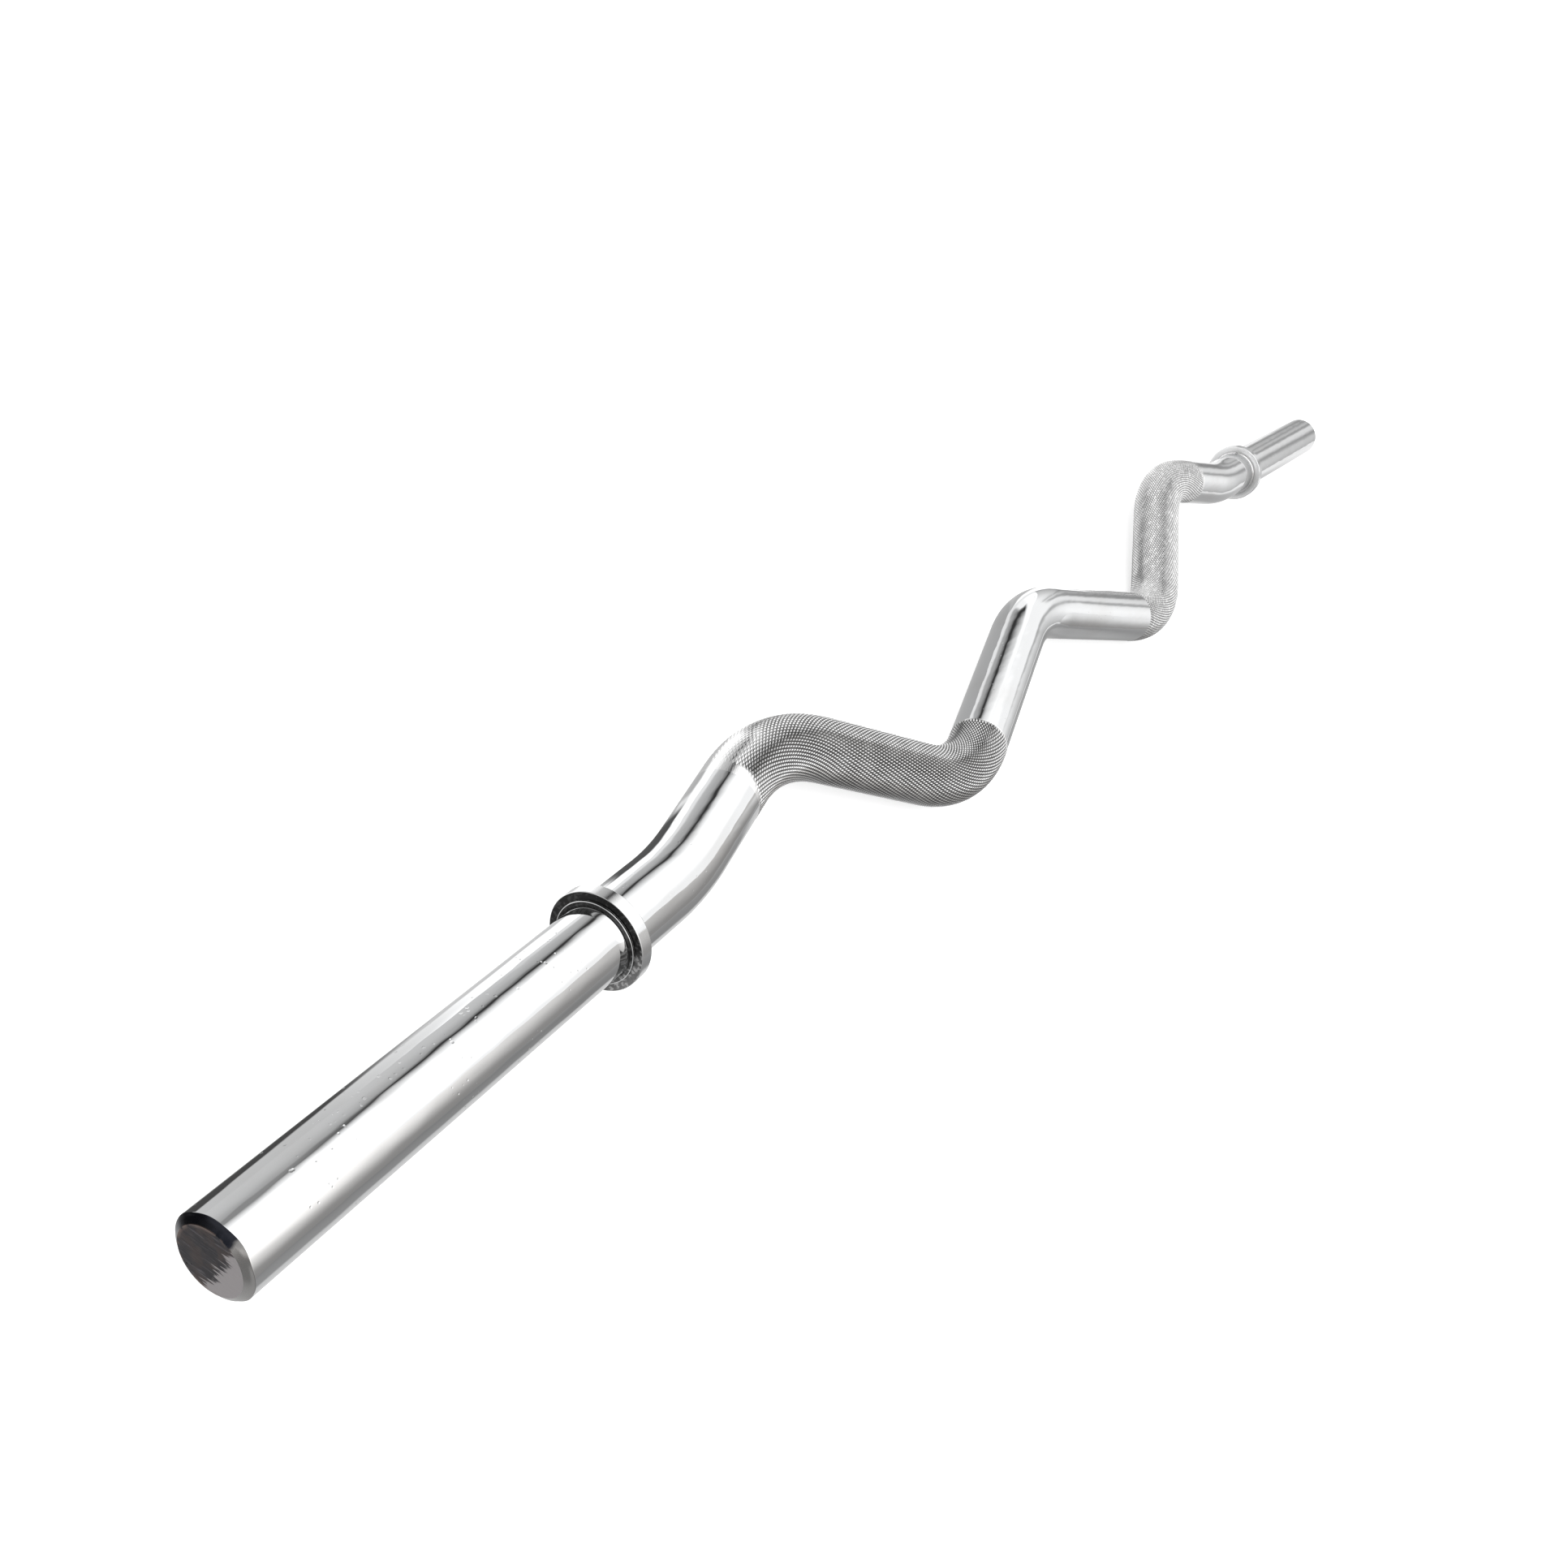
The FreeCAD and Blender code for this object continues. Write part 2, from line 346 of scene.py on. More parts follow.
pale_finish, start = new_finish("pale_card")
spot = start.node("ShaderNodeTexCoord", output="Object")
along = spot.part("X")
height = along.also("Z")
seam_line = (along + 0.5).ramp([
    (place + 0.5, value) for place, value in (
        (-0.39, 0.285), (-0.307, 0.272), (-0.278, 0.255), (-0.25, 0.238), (-0.194, 0.217), (-0.132, 0.199),
        (-0.108, 0.205), (-0.090, 0.184), (-0.063, 0.172), (0.0, 0.165), (0.124, 0.158), (0.184, 0.140),
        (0.21, 0.155), (0.32, 0.21))])
ragged = start.noise(spot, 55.0, 3.0) * 0.02 - 0.01
above_seam = height - seam_line + ragged
pale_shade = (above_seam / 0.6 + 0.5).ramp([
    (place / 0.6 + 0.5, value / full_white) for place, value in (
        (-0.26, 0.84), (-0.20, 0.80), (-0.15, 0.72), (-0.075, 0.56), (-0.037, 0.30), (-0.012, 0.06),
        (0.010, 0.05), (0.025, 0.22), (0.043, 0.48), (0.083, 0.90), (0.143, 1.24), (0.213, 1.55),
        (0.28, 1.75))])
pale_shade = pale_shade.math("MAXIMUM", pale_shade, along.step(-0.25, -0.39) * 0.19)
pale_shade = (along.step(0.21, 0.27) * above_seam.step(-0.03, -0.06)).blend(pale_shade, grey(0.70))
pale_shade = along.step(0.33, 0.40).blend(pale_shade, grey(0.78))
pale_shade = (height.step(0.050, 0.015) * along.step(-0.28, -0.18)).blend(pale_shade, grey(0.60))
end_finish(start, start.node("ShaderNodeEmission", sockets={"Color": pale_shade, "Strength": full_white}))
only_mirrored(upright_sheet("pale_card", (0.60, -0.95), 0.30, (cad_low.z, 0.62), pale_finish))
print("three cards set beside the bar")

# %% [markdown]
# The bar is one length of 30 mm round stock, bent seven times in one plane. Its centre line is a run of
# straight pieces with rounded corners, so it is given here the way a bender would set it out: the corners,
# and the radius of each bend.

# %% Centre line of the bar
bar_radius = 15.0
sleeve_radius = 14.8
shoulder = 361.5
sleeve_drop = 10.4
half_length = 599.823
corners = [(-half_length, 0.0), (-shoulder, sleeve_drop), (-269.0, 36.2), (-149.0, -37.0), (0.0, 14.5),
           (149.0, -37.0), (269.0, 36.2), (shoulder, sleeve_drop), (half_length, 0.0)]
bend_radii = [0.0, 139.0, 82.5, 69.0, 76.5, 69.0, 82.5, 139.0, 0.0]
lean = math.radians(7.53626767)


def rested(x, w, n=0.0):
    """A point of the bend plane, in millimetres, as the bar leans on the floor, in metres."""
    y = w * math.cos(lean) - n * math.sin(lean)
    z = w * math.sin(lean) + n * math.cos(lean)
    return Vector((x, y, z)) * MM


def stations():
    """The length along the bar of each bend's start, top and end, from the left tip."""
    found, walked = [], 0.0
    for i in range(1, len(corners) - 1):
        before, corner, after = (Vector(corners[j]) for j in (i - 1, i, i + 1))
        turn = (corner - before).angle(after - corner)
        tangent = bend_radii[i] * math.tan(turn / 2)
        last_tangent = found[-1]["tangent"] if found else 0.0
        begin = walked + (corner - before).length - tangent - last_tangent
        bent = bend_radii[i] * turn
        found.append({"begin": begin, "end": begin + bent, "turn": turn, "tangent": tangent})
        walked = begin + bent
    last = (Vector(corners[-1]) - Vector(corners[-2])).length - found[-1]["tangent"]
    return found, walked + last


bends, bar_length = stations()
print("bar length along its centre, mm", round(bar_length, 2))
print("turns in degrees", [round(math.degrees(b["turn"]), 1) for b in bends])

# %% [markdown]
# A plain run of the bar is a circle carried along the centre line. Fillet Curve rounds the corners with the
# radius stored on each one, Trim Curve keeps the run, and Curve to Mesh draws the tube and closes its ends.
# The ends stay flat, so only faces of four corners are shaded smooth. The same tree makes the two necks and
# the bow in the middle: only its start and end change.


# %% A tree for the plain runs
def new_tree(name, inputs):
    """A geometry tree with named inputs, and the wires of those inputs."""
    tree = bpy.data.node_groups.new(name, "GeometryNodeTree")
    tree.interface.new_socket("Geometry", in_out="INPUT", socket_type="NodeSocketGeometry")
    for label, kind in inputs:
        tree.interface.new_socket(label, in_out="INPUT", socket_type="NodeSocket" + kind)
    tree.interface.new_socket("Geometry", in_out="OUTPUT", socket_type="NodeSocketGeometry")
    first = Wire(tree).node("NodeGroupInput")
    return tree, first, {label: first.also(label) for label, kind in inputs}


def end_tree(first, shape, finish):
    """Ends a tree with its instances made real and its finish set."""
    real = first.node("GeometryNodeRealizeInstances", sockets={"Geometry": shape})
    done = first.node("GeometryNodeSetMaterial", sockets={"Geometry": real, "Material": finish})
    first.node("NodeGroupOutput", sockets={"Geometry": done})


def rounded_line(first, begin, end):
    """The part of the rounded centre line between two lengths along it."""
    line = first.node("GeometryNodeMeshToCurve", sockets={"Mesh": first})
    bend_radius = first.node("GeometryNodeInputNamedAttribute", {"data_type": "FLOAT"},
                             {"Name": "bend_radius"})
    smooth = first.node("GeometryNodeFilletCurve", {"mode": "POLY"},
                        {"Curve": line, "Count": 64, "Radius": bend_radius, "Limit Radius": False})
    return first.node("GeometryNodeTrimCurve", {"mode": "LENGTH"}, {"Curve": smooth, 4: begin, 5: end})


plain_tree, first, given = new_tree("plain_run", [
    ("Start", "Float"), ("End", "Float"), ("Radius", "Float"), ("Rings", "Int"), ("Sides", "Int"),
    ("Finish", "Material")])
run = first.node("GeometryNodeResampleCurve", {"mode": "COUNT"},
                 {"Curve": rounded_line(first, given["Start"], given["End"]), "Count": given["Rings"]})
ring = first.node("GeometryNodeCurvePrimitiveCircle", {"mode": "RADIUS"},
                  {"Resolution": given["Sides"], "Radius": given["Radius"]})
tube = first.node("GeometryNodeCurveToMesh", sockets={"Curve": run, "Profile Curve": ring, "Fill Caps": True})
corner_count = first.node("GeometryNodeInputMeshFaceNeighbors")
end_tree(first, first.node("GeometryNodeSetShadeSmooth", sockets={
    "Geometry": tube, "Shade Smooth": corner_count < 4.5}), given["Finish"])
print("tree nodes", len(plain_tree.nodes))

# %% [markdown]
# Diamond knurling is cut by two sets of slanting grooves that cross. Seen flat, crests and groove crossings
# form a chessboard, so the tube gets two columns for each groove and two rings for each diamond: a crest on
# one colour, a crossing on the other. Each square is then split along its grooves, which leaves
# four-sided points. It is real shape, so the edge of the grip is rough as well. The bar was knurled before it
# was bent, so the points are stretched almost flat on the outside of the outer bend. The two sets don't slant
# alike: one leans about 30 degrees from the bar and the other about 16, so the tube is twisted a little.

# %% A tree for the knurled grips
knurl_tree, first, given = new_tree("knurled_run", [
    ("Start", "Float"), ("End", "Float"), ("Radius", "Float"), ("Rings", "Int"), ("Grooves", "Int"),
    ("Skew", "Float"), ("Crest", "Float"), ("Cut", "Float"), ("Wear", "Float"), ("Seed", "Int"),
    ("Finish", "Material")])
sides = given["Grooves"] * 2
run = first.node("GeometryNodeResampleCurve", {"mode": "COUNT"},
                 {"Curve": rounded_line(first, given["Start"], given["End"]), "Count": given["Rings"]})
twist = first.node("GeometryNodeSplineParameter", output="Length") * given["Skew"] / given["Radius"]
run = first.node("GeometryNodeSetCurveTilt", sockets={"Curve": run, "Tilt": twist})
ring = first.node("GeometryNodeCurvePrimitiveCircle", {"mode": "RADIUS"},
                  {"Resolution": sides, "Radius": given["Radius"]})
tube = first.node("GeometryNodeCurveToMesh", sockets={"Curve": run, "Profile Curve": ring, "Fill Caps": True})
index = first.node("GeometryNodeInputIndex")
row = first.math("FLOOR", index / sides + 0.00001)
is_crest = (row + index % sides) % 2 > 0.5
inside = (row > 0.5) * (row < given["Rings"] - 1.5)
worn = first.node("FunctionNodeRandomValue", {"data_type": "FLOAT"},
                  {2: 0.0, 3: given["Wear"], "ID": index, "Seed": given["Seed"]}, 1)
outward = first.node("GeometryNodeInputNormal")
facing = outward.part("Y")
from_middle = abs(first.node("GeometryNodeInputPosition").part("X"))
flattened = from_middle.step(0.272, 0.298) * facing.step(-0.1, 0.75) * 0.9
flattened = flattened.math("MAXIMUM", flattened, from_middle.step(0.3075, 0.3105))
lift = inside * (1 - flattened) * (is_crest * (given["Crest"] - worn) - (1 - is_crest) * given["Cut"])
push = first.node("ShaderNodeVectorMath", {"operation": "SCALE"}, {0: outward, "Scale": lift})
rough = first.node("GeometryNodeSetPosition", sockets={"Geometry": tube, "Offset": push})
shine = (is_crest * inside + (1 - inside) * 0.7) * (1 - flattened) + flattened * 0.8
rough = first.node("GeometryNodeStoreNamedAttribute", {"data_type": "FLOAT", "domain": "POINT"},
                   {"Geometry": rough, "Name": "crest", "Value": shine})
even = (row + index % sides) % 2 < 0.5
split = first.node("GeometryNodeTriangulate", {"quad_method": "FIXED"}, {"Mesh": rough, "Selection": even})
split = first.node("GeometryNodeTriangulate", {"quad_method": "FIXED_ALTERNATE"}, {"Mesh": split})
end_tree(first, first.node("GeometryNodeSetShadeSmooth", sockets={"Geometry": split, "Shade Smooth": False}),
         given["Finish"])
print("tree nodes", len(knurl_tree.nodes))

# %% [markdown]
# Polished chrome is a mirror that is never quite perfect. Its colour is almost even, and what varies
# is small: a soft haze where hands and plates have rubbed, hairlines along the bar, a few pinholes in
# the plating, and a slow waviness that keeps the reflected lines from being ruler straight.


# %% Polished chrome
def chrome_parts(start):
    """The haze, hairlines, pinholes and waviness that every chromed surface here shares."""
    spot = start.node("ShaderNodeTexCoord", output="Object")
    haze = start.noise(spot, 26.0, 4.0).step(0.50, 0.72)
    drawn = start.node("ShaderNodeMapping", sockets={"Vector": spot, "Scale": (30.0, 2600.0, 2600.0)})
    hair = start.noise(drawn, 1.0, 2.0).step(0.60, 0.78)
    cells = start.node("ShaderNodeTexVoronoi", sockets={"Vector": spot, "Scale": 300.0})
    where = start.noise(spot, 40.0, 1.0).step(0.52, 0.60)
    pin = cells.step(0.14, 0.05) * where
    slow = start.node("ShaderNodeMapping", sockets={"Vector": spot, "Scale": (60.0, 200.0, 200.0)})
    wave = start.noise(slow, 1.0, 1.0)
    return haze, hair, pin, wave


polished_chrome, start = new_finish("polished_chrome")
haze, hair, pin, wave = chrome_parts(start)
wavy = start.node("ShaderNodeBump", sockets={
    "Strength": 0.3, "Distance": 0.0004, "Height": wave - pin * 0.25})
end_finish(start, start.node("ShaderNodeBsdfPrincipled", sockets={
    "Base Color": haze.blend(grey(0.64, -0.008), grey(0.61)), "Metallic": 1.0,
    "Roughness": 0.03 + haze * 0.04 + hair * 0.03 + pin * 0.2, "Normal": wavy}))
print("chrome nodes", len(polished_chrome.node_tree.nodes))

# %% [markdown]
# On the knurling, the grooves are painted dark as shade, lighter in random patches, and the crests are painted
# a little brighter. The tree has stored how close each point is to a crest, and the finish goes from dark
# grooves to bright crests with it. On the far grip the painted groove shade is much lighter, and painted
# slanting streaks of highlight and shade follow the knurling.

# %% Knurled chrome
knurled_chrome, start = new_finish("knurled_chrome")
haze = chrome_parts(start)[0]
crest = start.mark("crest")
spot = start.node("ShaderNodeTexCoord", output="Object")
along = spot.part("X")
across, height = along.also("Y"), along.also("Z")
groove_shade_patches = start.noise(spot, 90.0, 3.0).step(0.35, 0.75)
# On the far grip the painted groove shade is much lighter and the crests a little darker; it is also a little
# rougher.
far_grip = along.step(0.0, 0.15)
# Painted shade: the grooves are painted dark, lighter in random patches and much lighter on the far grip.
painted_groove_shade = (far_grip * 0.36 + groove_shade_patches * 0.15).blend(grey(0.04, 0.02), grey(0.60))
rim = far_grip.blend(grey(0.75), grey(0.69))
# The crests are painted a little brighter than the grooves, a painted highlight.
colour = crest.step(0.05, 0.85).blend(painted_groove_shade, rim)
slanted = start.node("ShaderNodeCombineXYZ", sockets={
    "X": (along * 0.60 + across * 0.37 + height * 0.71) * 110.0, "Y": (across * 0.85 - along * 0.52) * 560.0,
    "Z": (height * 0.71 - along * 0.60 - across * 0.37) * 560.0})
painted_streak = start.noise(slanted, 1.0, 1.0)
# Painted highlight and painted shade: slanting streaks, bright and dark, along the knurling of the far grip.
colour = (painted_streak.step(0.56, 0.70) * far_grip * 0.34).blend(colour, grey(0.90))
colour = (painted_streak.step(0.48, 0.34) * far_grip * 0.26).blend(colour, grey(0.25))
end_finish(start, start.node("ShaderNodeBsdfPrincipled", sockets={
    "Base Color": colour, "Metallic": 1.0,
    "Roughness": 0.20 - crest * 0.06 + haze * 0.06 + far_grip * 0.04}))
print("knurl nodes", len(knurled_chrome.node_tree.nodes))

# %% [markdown]
# Now the trees are used. Each run starts as the nine corners of the centre line, with each corner's bend
# radius stored on it. The inputs are set by their identifiers, the result becomes a plain mesh, and the
# modifier goes.


# %% Draw the runs
def draw_run(name, tree, **sizes):
    """One run of the bar: corners, tree and sizes in, a plain mesh out."""
    mesh = bpy.data.meshes.new(name)
    mesh.from_pydata([rested(x, w) for x, w in corners], [(i, i + 1) for i in range(len(corners) - 1)], [])
    radius_layer = mesh.attributes.new("bend_radius", "FLOAT", "POINT")
    for item, radius in zip(radius_layer.data, bend_radii):
        item.value = radius * MM
    source = bpy.data.objects.new(name + "_line", mesh)
    bpy.context.scene.collection.objects.link(source)
    maker = source.modifiers.new("run", "NODES")
    maker.node_group = tree
    for item in tree.interface.items_tree:
        if item.in_out == "INPUT" and item.name in sizes:
            maker[item.identifier] = sizes[item.name]
    shaped = source.evaluated_get(bpy.context.evaluated_depsgraph_get())
    piece = bpy.data.objects.new(name, bpy.data.meshes.new_from_object(shaped))
    bpy.context.scene.collection.objects.link(piece)
    bpy.data.objects.remove(source)
    piece.data.name = name
    print(name, "vertices", len(piece.data.vertices), "faces", len(piece.data.polygons))
    return piece


tip_station = math.hypot(half_length - shoulder, sleeve_drop)
collar_middle_along = 52.5
collar_middle = tip_station - collar_middle_along
knurl_past_outer_bend = 10.5
knurl_past_valley_bend = 2.0
grip_start = bends[1]["begin"] - knurl_past_outer_bend
grip_end = bends[2]["end"] + knurl_past_valley_bend
ring_sides = 120
groove_count = 60
diamond_pitch = 3.7
knurl_skew = -0.148


def plain_run(name, begin, end):
    """A smooth run of the bar between two lengths along it, in millimetres."""
    return draw_run(name, plain_tree, Start=begin * MM, End=end * MM, Radius=bar_radius * MM,
                    Rings=max(2, round(end - begin)), Sides=ring_sides, Finish=polished_chrome)


def knurled_run(name, begin, end, seed):
    """A knurled run of the bar between two lengths along it, in millimetres."""
    return draw_run(name, knurl_tree, Start=begin * MM, End=end * MM, Radius=bar_radius * MM,
                    Rings=2 * round((end - begin) / diamond_pitch) + 1, Grooves=groove_count, Skew=knurl_skew,
                    Crest=0.18 * MM, Cut=0.30 * MM, Wear=0.05 * MM, Seed=seed, Finish=knurled_chrome)


left_neck = plain_run("left_neck", collar_middle, grip_start)
centre_bow = plain_run("centre_bow", grip_end, bar_length - grip_end)
right_neck = plain_run("right_neck", bar_length - grip_start, bar_length - collar_middle)
left_grip = knurled_run("left_grip", grip_start, grip_end, 3)
right_grip = knurled_run("right_grip", bar_length - grip_end, bar_length - grip_start, 8)
columns = 2 * groove_count
pointed = [sum((v // columns + v % columns) % 2 for v in face.vertices) == 1
           for face in left_grip.data.polygons if len({v // columns for v in face.vertices}) == 2]
print("grip from", round(grip_start, 1), "to", round(grip_end, 1), "mm along the bar")
print("share of facets that rise to one point", round(sum(pointed) / len(pointed), 3))

# %% [markdown]
# The sleeves, collars and welds are turned pieces: an outline spun about the sleeve. A lathe in code gives
# full control of where the rings sit, so every edge gets its small round and each flat face stays flat up
# to it. Each point also keeps its distance along the outline, for turning marks.


# %% A small lathe
def on_sleeve(side, along, radius, turn):
    """A point about the sleeve's own axis: its length from the shoulder's corner, radius and turn."""
    slope = math.asin(sleeve_drop / tip_station)
    up, out = radius * math.cos(turn), radius * math.sin(turn)
    x = shoulder + along * math.cos(slope) + up * math.sin(slope)
    w = sleeve_drop - along * math.sin(slope) + up * math.cos(slope)
    return rested(side * x, w, out)


def rounded(outline, steps=5):
    """An outline of (along, radius, rounding) corners, with its rounded corners drawn as short chords."""
    points = []
    for i, (along, radius, rounding) in enumerate(outline):
        corner = Vector((along, radius))
        if not rounding:
            points.append(corner)
            continue
        before = (Vector(outline[i - 1][:2]) - corner).normalized()
        after = (Vector(outline[(i + 1) % len(outline)][:2]) - corner).normalized()
        reach = rounding / math.tan(before.angle(after) / 2)
        centre = corner + (before + after).normalized() * math.hypot(rounding, reach)
        first_arm, last_arm = corner + before * reach - centre, corner + after * reach - centre
        points.append(centre + first_arm + before * 0.04)
        for k in range(steps + 1):
            points.append(centre + first_arm.slerp(last_arm, k / steps) * rounding)
        points.append(centre + last_arm + after * 0.04)
    return points


def turned(name, side, points, finish, closed, marks, sway=lambda p, turn: 0.0, sides=144):
    """The outline's points carried round the sleeve, with marks stored on them for the finish."""
    count = len(points)
    walked = [0.0]
    for a, b in zip(points, points[1:]):
        walked.append(walked[-1] + (b - a).length)
    turns = [2 * math.pi * k / sides for k in range(sides)]
    spots = [on_sleeve(side, p.x + sway(p, turn), p.y, turn) for turn in turns for p in points]
    faces = []
    for k in range(sides):
        here, there = k * count, (k + 1) % sides * count
        for i in range(count if closed else count - 1):
            j = (i + 1) % count
            face = (here + i, there + i, there + j, here + j)
            faces.append(face if side > 0 else face[::-1])
    if not closed:
        spots += [on_sleeve(side, p.x, 0.0, 0.0) for p in (points[-1], points[0])]
        for k in range(sides):
            here, there = k * count, (k + 1) % sides * count
            for fan in ((here + count - 1, there + count - 1, len(spots) - 2), (there, here, len(spots) - 1)):
                faces.append(fan if side > 0 else fan[::-1])
    mesh = bpy.data.meshes.new(name)
    mesh.from_pydata(spots, [], faces)
    layers = {"walked": walked, **{key: [rule(p) for p in points] for key, rule in marks.items()}}
    for key, values in layers.items():
        spread = values * sides + ([] if closed else [values[-1], values[0]])
        mesh.attributes.new(key, "FLOAT", "POINT").data.foreach_set("value", spread)
    mesh.shade_smooth()
    mesh.materials.append(finish)
    piece = bpy.data.objects.new(name, mesh)
    bpy.context.scene.collection.objects.link(piece)
    print(name, "vertices", len(mesh.vertices), "faces", len(mesh.polygons))
    return piece


print("lathe ready")

# %% [markdown]
# The sleeve is turned a little thinner than the bar so that plates slide on, and its end is chamfered and cut
# flat. The cut end is bare, dark steel with saw marks and one side rubbed bright, so the chrome gives way to
# it there. A thin warm line at one side of the edge where the plating stops is rust with a painted highlight.
# Plates pushed on have chipped the polish on one sleeve: the chips are small and rough, so each shows as a
# light speck.

# %% Sleeve chrome and the two sleeves
sleeve_chrome, start = new_finish("sleeve_chrome")
haze, hair, pin, wave = chrome_parts(start)
bevel = start.mark("bevel")
cut = start.mark("cut")
edge = start.mark("edge")
spot = start.node("ShaderNodeTexCoord", output="Object")
along = spot.part("X")
across, height = along.also("Y"), along.also("Z")
tip_x = 0.6
sleeve_rise = 0.0436
off_axis = across - (tip_x - abs(along)) * sleeve_rise
scuffed = off_axis.step(0.003, 0.006) * height.step(0.0, 0.004) * along.step(-0.43, -0.47)
scuffed = scuffed * (1 - along.step(-0.57, -0.59))
chips = start.node("ShaderNodeTexVoronoi", sockets={"Vector": spot, "Scale": 330.0}).step(0.26, 0.10)
chips = chips * start.noise(spot, 120.0).step(0.50, 0.58) * scuffed
saw_way = start.node("ShaderNodeCombineXYZ", sockets={
    "X": (height * 0.51 - across * 0.86) * 110.0, "Y": (across * 0.51 + height * 0.86) * 900.0})
saw = start.noise(saw_way, 1.0, 5.0)
blotch = start.noise(spot, 190.0, 4.0)
dark_steel = blotch.step(0.42, 0.62).blend((0.020, 0.018, 0.022, 1.0), (0.042, 0.031, 0.030, 1.0))
dark_steel = (saw.step(0.52, 0.76) * blotch.step(0.62, 0.42)).blend(dark_steel, (0.13, 0.12, 0.135, 1.0))
to_side = (height * 0.12 - across * 0.99) / 0.012
rubbed = (to_side + saw * 1.1 + blotch * 0.5).step(1.02, 1.16)
steel = rubbed.blend(dark_steel, (0.33, 0.31, 0.315, 1.0))
to_edge = (height * 0.35 - across * 0.94) / 0.0148
blue_steel = blotch.step(0.35, 0.70).blend((0.020, 0.022, 0.030, 1.0), (0.045, 0.047, 0.058, 1.0))
ground = (to_edge + blotch * 0.25).step(0.40, 0.50).blend(blue_steel, (0.30, 0.295, 0.29, 1.0))
# The thin warm line at one side of the cut edge is rust colour and a painted edge highlight.
rust_and_edge_highlight = edge * (to_edge + blotch * 0.6).step(0.80, 0.50) * blotch.step(0.40, 0.54)
colour = cut.blend(bevel.blend(haze.blend(grey(0.64, -0.008), grey(0.61)), ground), steel)
colour = (rust_and_edge_highlight * 0.7).blend(colour, (0.20, 0.15, 0.13, 1.0))
wavy = start.node("ShaderNodeBump", sockets={
    "Strength": 0.3, "Distance": 0.0004, "Height": wave - pin * 0.9 - chips * 0.7 + cut * saw * 0.4})
end_finish(start, start.node("ShaderNodeBsdfPrincipled", sockets={
    "Base Color": colour, "Metallic": 1.0, "Normal": wavy,
    "Roughness": 0.03 + haze * 0.04 + hair * 0.03 + (pin + chips) * 0.5 + cut * 0.28 + bevel * 0.20}))

collar_face = 55.6
hub_face = 56.55
bevel_length = 1.9
bevel_depth = 2.8
bevel_start = tip_station - bevel_length
face_radius = sleeve_radius - bevel_depth
sleeve_outline = rounded([
    (collar_middle_along, bar_radius, 0), (hub_face - 0.3, bar_radius, 0), (hub_face, sleeve_radius, 0),
    (bevel_start, sleeve_radius, 0.3), (tip_station, face_radius, 0.2), (tip_station, 0.0, 0)])[:-1]
plain = [Vector((hub_face + (bevel_start - hub_face) * k / 40, sleeve_radius)) for k in range(1, 40)]
cut_rings = [Vector((tip_station, face_radius * k / 10)) for k in (9, 8, 6, 4, 2)]
bevel_rings = [sleeve_outline[10].lerp(sleeve_outline[11], k) for k in (0.25, 0.5, 0.75, 0.92)]
sleeve_outline = (sleeve_outline[:3] + plain + sleeve_outline[3:11] + bevel_rings
                  + sleeve_outline[11:] + cut_rings)
sleeve_marks = {"bevel": lambda p: 1.0 if bevel_start < p.x < tip_station - 0.01 else 0.0,
                "cut": lambda p: 1.0 if p.x >= tip_station - 0.01 else 0.0,
                "edge": lambda p: 1.0 if tip_station - 0.16 < p.x and p.y > face_radius - 0.3 else 0.0}


def ground_by_hand(p, turn):
    """The bevel is ground by hand, so where it starts wanders a little round the sleeve."""
    if abs(p.x - bevel_start) >= 0.5:
        return 0.0
    return 0.26 * math.sin(3 * turn + 0.7) + 0.14 * math.sin(7 * turn)


left_sleeve = turned("left_sleeve", -1, sleeve_outline, sleeve_chrome, False, sleeve_marks, ground_by_hand)
right_sleeve = turned("right_sleeve", 1, sleeve_outline, sleeve_chrome, False, sleeve_marks, ground_by_hand)

# %% [markdown]
# The collars stop the plates. Each is a ring with crisp rims and a low hub on the plate side. They were
# turned on a lathe before plating, so fine rings show in the polish. The plate side is rough, with painted
# shade that makes it dark, painted light that makes one side paler, and speckled grain. The grip side is
# plated over a plain faced surface, so it is satin, and it is painted pale, a painted highlight.

# %% Collar chrome and the two collars
collar_chrome, start = new_finish("collar_chrome")
haze, _, _, wave = chrome_parts(start)
walked = start.mark("walked")
marks = start.node("ShaderNodeTexNoise", {"noise_dimensions": "1D"},
                   {"W": walked, "Scale": 9.0, "Detail": 3.0})
plate_side = start.mark("plate_side")
spot = start.node("ShaderNodeTexCoord", output="Object")
across = spot.part("Y")
grain = start.noise(spot, 700.0, 3.0)
# Painted shade: the plate side is painted dark, with painted light making one side paler and grain speckling
# it.
painted_light_side = (across / -0.020 + grain * 0.5).step(0.25, 0.85)
face_shade_and_grain = painted_light_side.blend(grey(0.028), grey(0.20))
face_shade_and_grain = (grain.step(0.48, 0.62) * (painted_light_side * 0.8 + 0.08)).blend(face_shade_and_grain, grey(0.45))
satin_and_painted_sheen = start.mark("satin_and_painted_sheen")
# The grip side is painted pale, a painted highlight, and made rough as satin.
bright = satin_and_painted_sheen.blend(haze.blend(grey(0.66, -0.008), grey(0.62)), grey(0.88))
wavy = start.node("ShaderNodeBump", sockets={
    "Strength": 0.2, "Distance": 0.0003, "Height": wave + marks * 0.15})
end_finish(start, start.node("ShaderNodeBsdfPrincipled", sockets={
    "Base Color": plate_side.blend(bright, face_shade_and_grain), "Metallic": 1.0,
    "Roughness": 0.05 + haze * 0.05 + marks * 0.05 + plate_side * 0.22 + satin_and_painted_sheen * 0.40, "Normal": wavy}))

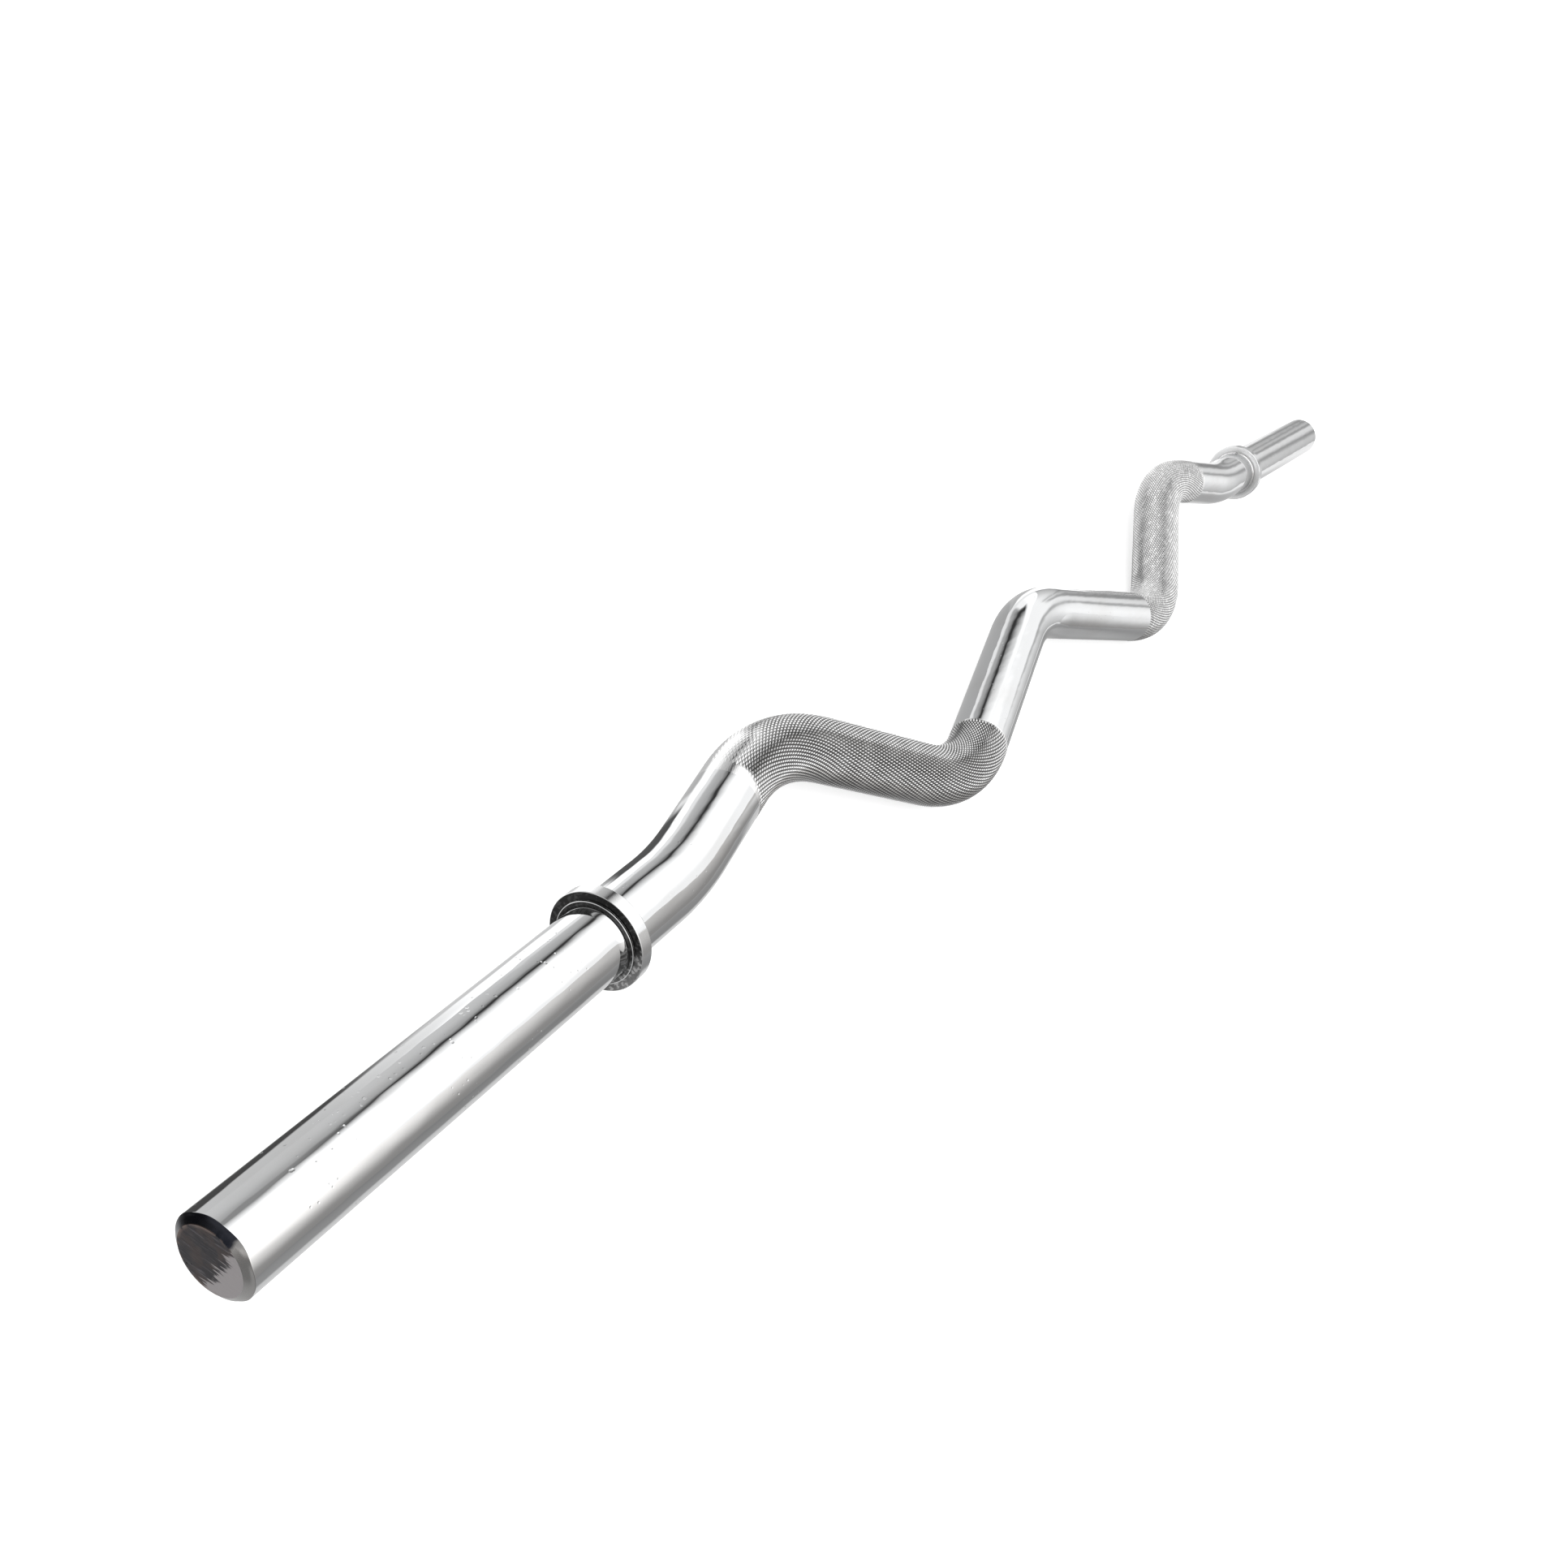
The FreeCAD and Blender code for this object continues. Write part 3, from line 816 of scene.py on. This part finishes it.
collar_inner = 49.5
bore_radius = 15.03
collar_radius = 20.2
hub_radius = 16.8
collar_outline = rounded([
    (collar_inner, bore_radius, 0), (collar_inner, collar_radius, 0.4), (collar_face, collar_radius, 0.3),
    (collar_face, 17.0, 0), (collar_face, hub_radius, 0), (hub_face - 0.3, hub_radius, 0),
    (hub_face, hub_radius, 0.2), (hub_face, 16.4, 0), (hub_face, bore_radius, 0)])


def on_hub_edge(p):
    """Only the hub's outer edge keeps its bright chrome."""
    return hub_face - 0.25 < p.x and 16.5 < p.y


def on_plate_side(p):
    """The plate side inside its rim, but not the hub's edge."""
    return collar_face - 0.01 < p.x and p.y < 19.92 and not on_hub_edge(p)


collar_marks = {"plate_side": lambda p: 1.0 if on_plate_side(p) else 0.0,
                "satin_and_painted_sheen": lambda p: 1.0 if p.x < 49.51 and p.y < 19.85 else 0.0}
left_collar = turned("left_stop_collar", -1, collar_outline, collar_chrome, True, collar_marks)
right_collar = turned("right_stop_collar", 1, collar_outline, collar_chrome, True, collar_marks)

# %% [markdown]
# A weld runs round the grip side of each collar. It is a row of small overlapping beads, ground low and
# plated over, so all that shows is a fine rippled fillet in the corner. The lathe makes it too: its outline
# sways to and fro as it goes round, once for each bead.

# %% Welds
weld_chrome, start = new_finish("weld_chrome")
haze, _, pin, wave = chrome_parts(start)
wavy = start.node("ShaderNodeBump", sockets={"Strength": 0.4, "Distance": 0.0004, "Height": wave - pin * 0.5})
end_finish(start, start.node("ShaderNodeBsdfPrincipled", sockets={
    "Base Color": haze.blend(grey(0.72), grey(0.64)), "Metallic": 1.0,
    "Roughness": 0.16 + haze * 0.10 + pin * 0.3, "Normal": wavy}))
weld_leg = 0.8
weld_outline = [Vector((collar_inner, bore_radius)), Vector((collar_inner, bore_radius + weld_leg))]
for a in (0.35, 0.6, 0.8, 1.0, 1.25):
    weld_outline.append(Vector((collar_inner - weld_leg * (1 - math.cos(a)) * 0.9,
                                bore_radius + weld_leg * (1 - math.sin(a)) * 0.9)))
weld_outline.append(Vector((collar_inner - weld_leg, bore_radius)))


def beads(p, turn):
    """The toe of the weld runs in and out, once for each bead."""
    return 0.10 * abs(math.sin(21 * turn)) * (collar_inner - p.x) / weld_leg


left_weld = turned("left_weld_bead", -1, weld_outline[::-1], weld_chrome, True, {}, beads, 336)
right_weld = turned("right_weld_bead", 1, weld_outline[::-1], weld_chrome, True, {}, beads, 336)

# %% [markdown]
# Last, each piece is tied to the frame: it rides on the one rigid body, and the imported part that it stands
# for is hidden.

# %% Tie the pieces to the frame
for piece in (left_neck, centre_bow, right_neck, left_grip, right_grip, left_sleeve, right_sleeve):
    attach(piece, "root")
    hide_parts("bar")
others = ((left_collar, "left_collar", "collar_chrome"), (right_collar, "right_collar", "collar_chrome"),
          (left_weld, "left_collar_weld", "weld_chrome"), (right_weld, "right_collar_weld", "weld_chrome"))
for piece, node, slot in others:
    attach(piece, "root")
    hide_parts(node)
print("eleven pieces tied to the frame")
